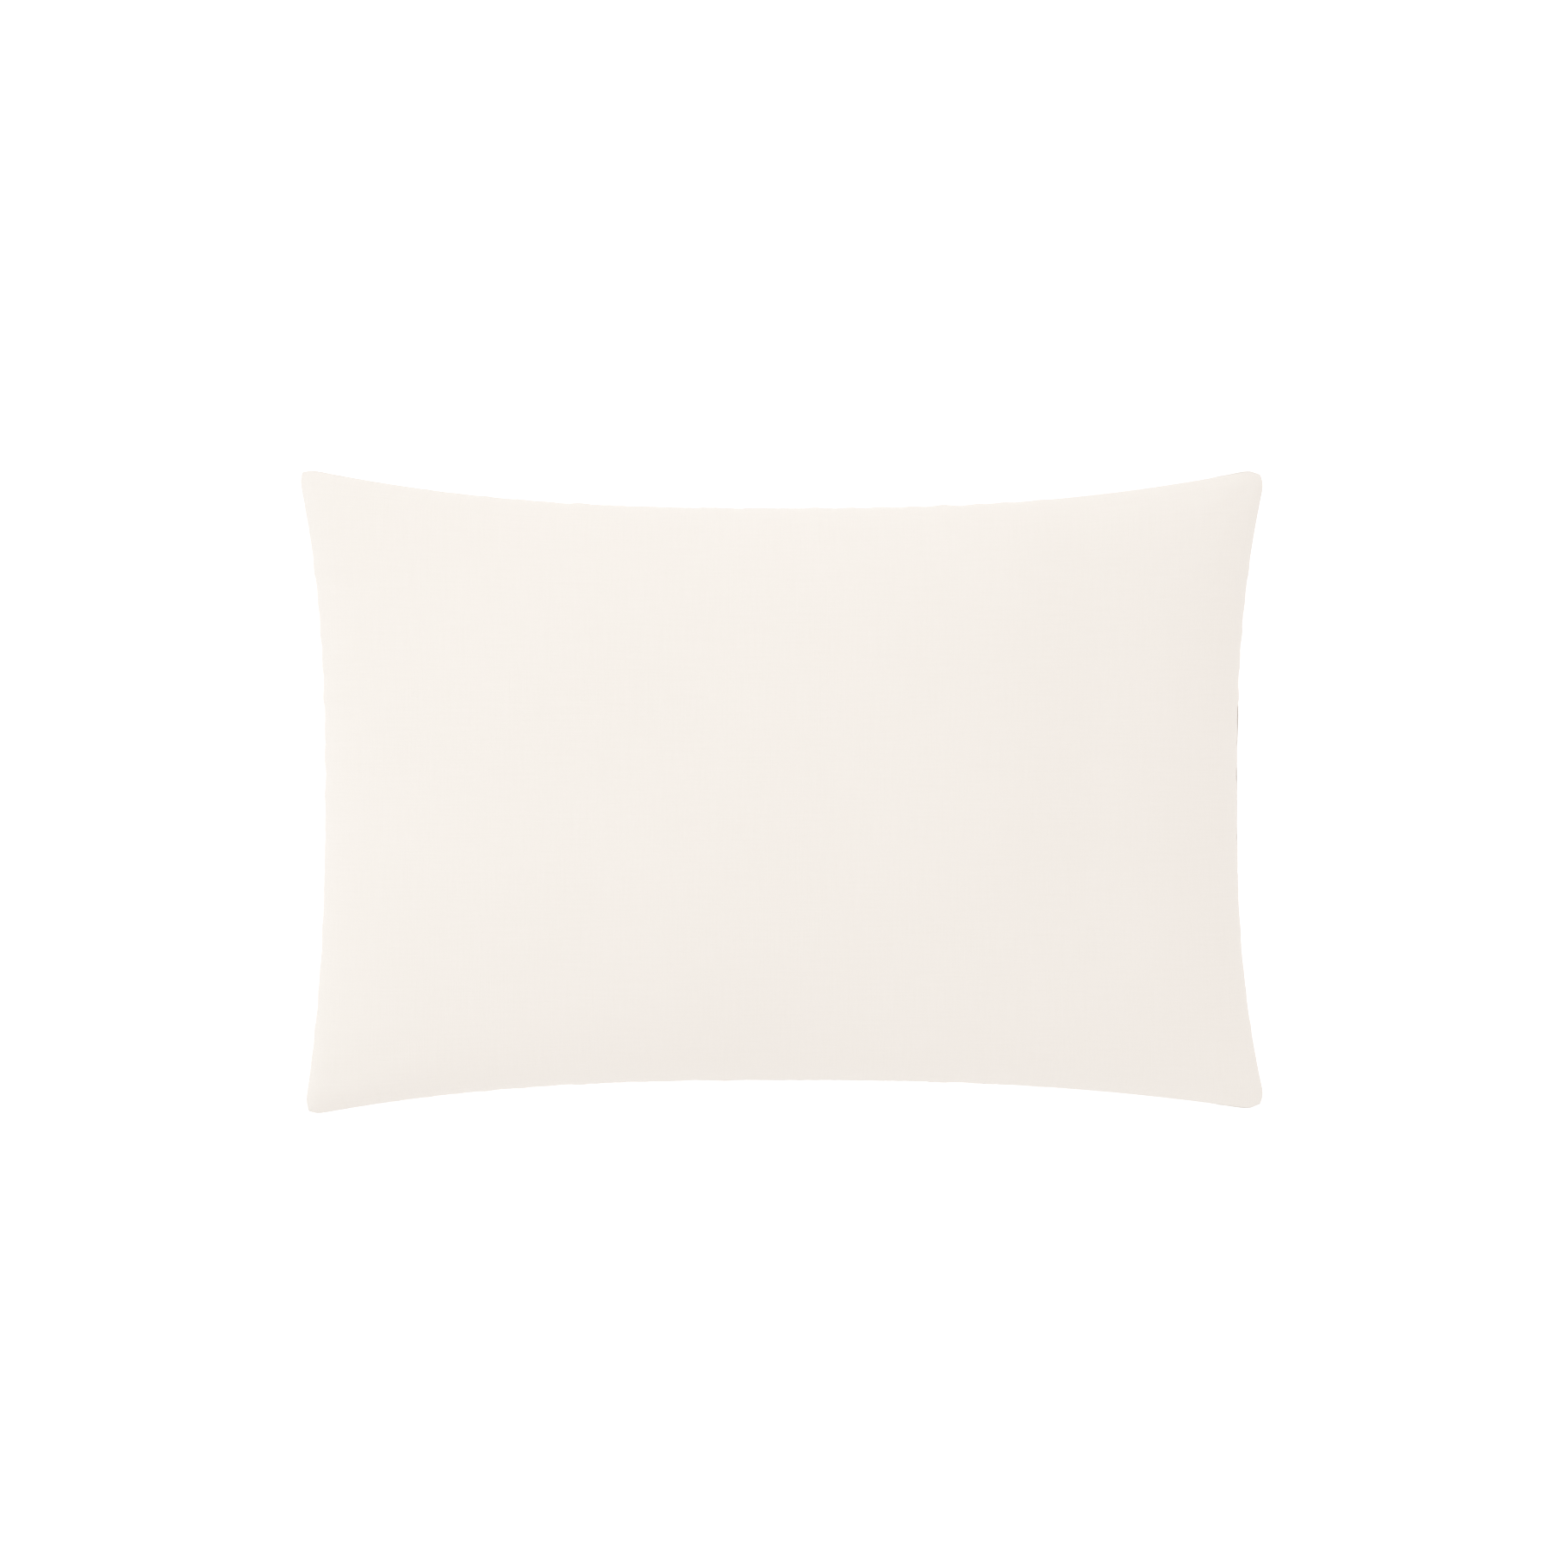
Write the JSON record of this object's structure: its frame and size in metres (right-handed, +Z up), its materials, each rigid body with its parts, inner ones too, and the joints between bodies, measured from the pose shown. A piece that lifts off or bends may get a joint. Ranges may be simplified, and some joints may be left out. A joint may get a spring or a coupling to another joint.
{
  "type": "bed pillow",
  "caption": "Plump fibre-filled bed pillow in a plain cream housewife pillowcase, lying flat; the piped inner pillow pulls out at the tuck-in mouth.",
  "frame": {"origin": "middle of the pillow's rectangle, on the surface it lies on", "axes": "+X along the length towards the pillowcase's mouth, +Y across the width towards the far long seam, +Z up out of the front panel"},
  "size_m": [0.7443, 0.4947, 0.155],
  "materials": {
    "cream_percale": "matte",
    "cream_percale_turned": "matte",
    "cream_overlock": "matte",
    "cream_sewing_thread": "satin",
    "blank_satin_label": "satin",
    "white_ticking": "matte",
    "white_piping": "matte",
    "white_sewing_thread": "satin",
    "white_fibre": "matte"
  },
  "bodies": {
    "pillowcase": {"case_front_panel": "cream_percale", "case_back_panel": "cream_percale", "case_mouth_hem": "cream_percale_turned", "case_tuck_flap": "cream_percale", "case_flap_hem": "cream_percale_turned", "case_seam_far": "cream_overlock", "case_seam_near": "cream_overlock", "case_seam_closed_end": "cream_overlock", "case_seam_mouth_end": "cream_overlock", "case_hem_stitch": "cream_sewing_thread", "case_flap_stitch": "cream_sewing_thread", "case_care_label": "blank_satin_label"},
    "inner_pillow": {"ticking_top_panel": "white_ticking", "ticking_bottom_panel": "white_ticking", "ticking_piped_edge": "white_piping", "ticking_closing_stitch": "white_sewing_thread", "ticking_care_label": "blank_satin_label", "fibre_filling": "white_fibre"}
  },
  "joints": [
    {"name": "insert_pull_out", "type": "slide", "parent": "pillowcase", "child": "inner_pillow", "axis": [1, 0, 0], "range_m": [0, 0.78], "deforming": ["ticking_top_panel", "ticking_bottom_panel", "ticking_piped_edge", "ticking_closing_stitch", "ticking_care_label", "fibre_filling"]}
  ]
}
